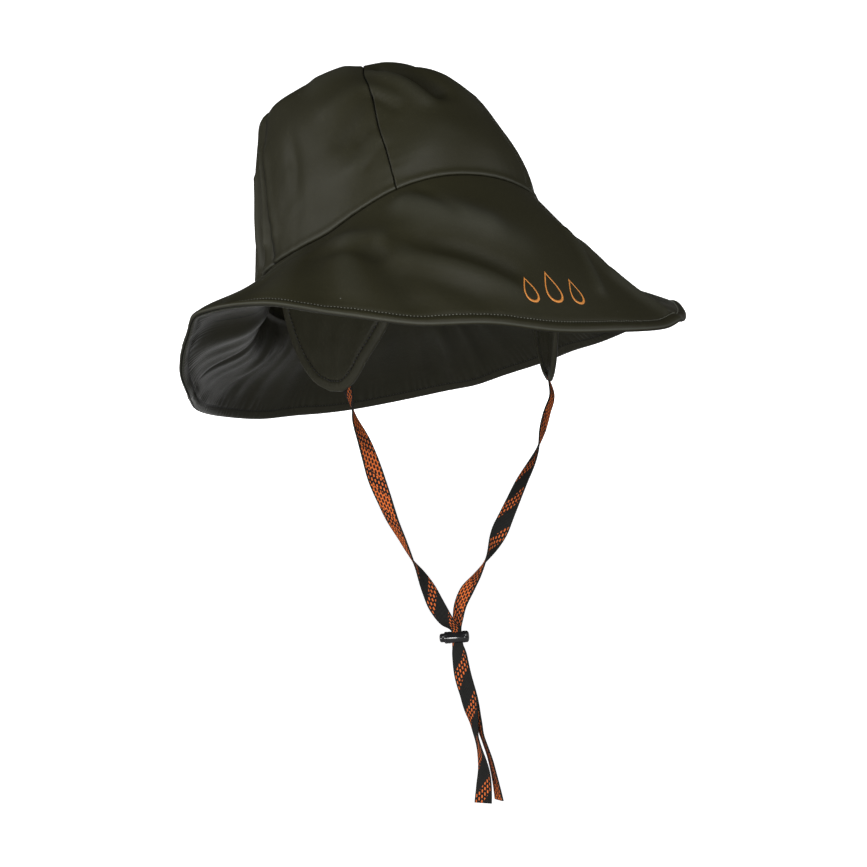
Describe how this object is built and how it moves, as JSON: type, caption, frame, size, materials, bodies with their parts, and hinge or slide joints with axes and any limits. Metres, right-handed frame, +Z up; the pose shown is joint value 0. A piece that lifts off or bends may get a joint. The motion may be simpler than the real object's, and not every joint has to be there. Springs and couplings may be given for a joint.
{
  "type": "rain hat",
  "caption": "Rain hat of coated cloth with a gored crown, a wide drooping brim, ear flaps and flat laces that meet in a cord lock.",
  "frame": {"origin": "middle of the head opening, where the hat sits on a head", "axes": "+Z up as worn, -Y towards the brow, +X towards the wearer's left side"},
  "size_m": [0.3218, 0.334, 0.4334],
  "materials": {
    "coated_cloth": "coated, semi-matt",
    "lining_cloth": "smooth, satin",
    "lace": "woven, matt",
    "lock_plastic": "glossy"
  },
  "bodies": {
    "hat": {"crown_panel_front": "coated_cloth", "crown_panel_front_left": "coated_cloth", "crown_panel_rear_left": "coated_cloth", "crown_panel_rear": "coated_cloth", "crown_panel_rear_right": "coated_cloth", "crown_panel_front_right": "coated_cloth", "brim_front": "coated_cloth", "brim_back": "coated_cloth", "brim_lining_front": "lining_cloth", "brim_lining_back": "lining_cloth", "ear_flap_right": "lining_cloth", "ear_flap_left": "lining_cloth", "chin_lace_right": "lace", "chin_lace_left": "lace", "lock_barrel": "lock_plastic"},
    "button": {"lock_button": "lock_plastic"}
  },
  "joints": [
    {"name": "button_press", "type": "slide", "parent": "hat", "child": "button", "axis": [0.7273, -0.6783, 0.1045], "range_m": [0, 0.002], "stiffness_N_per_m": 250}
  ]
}
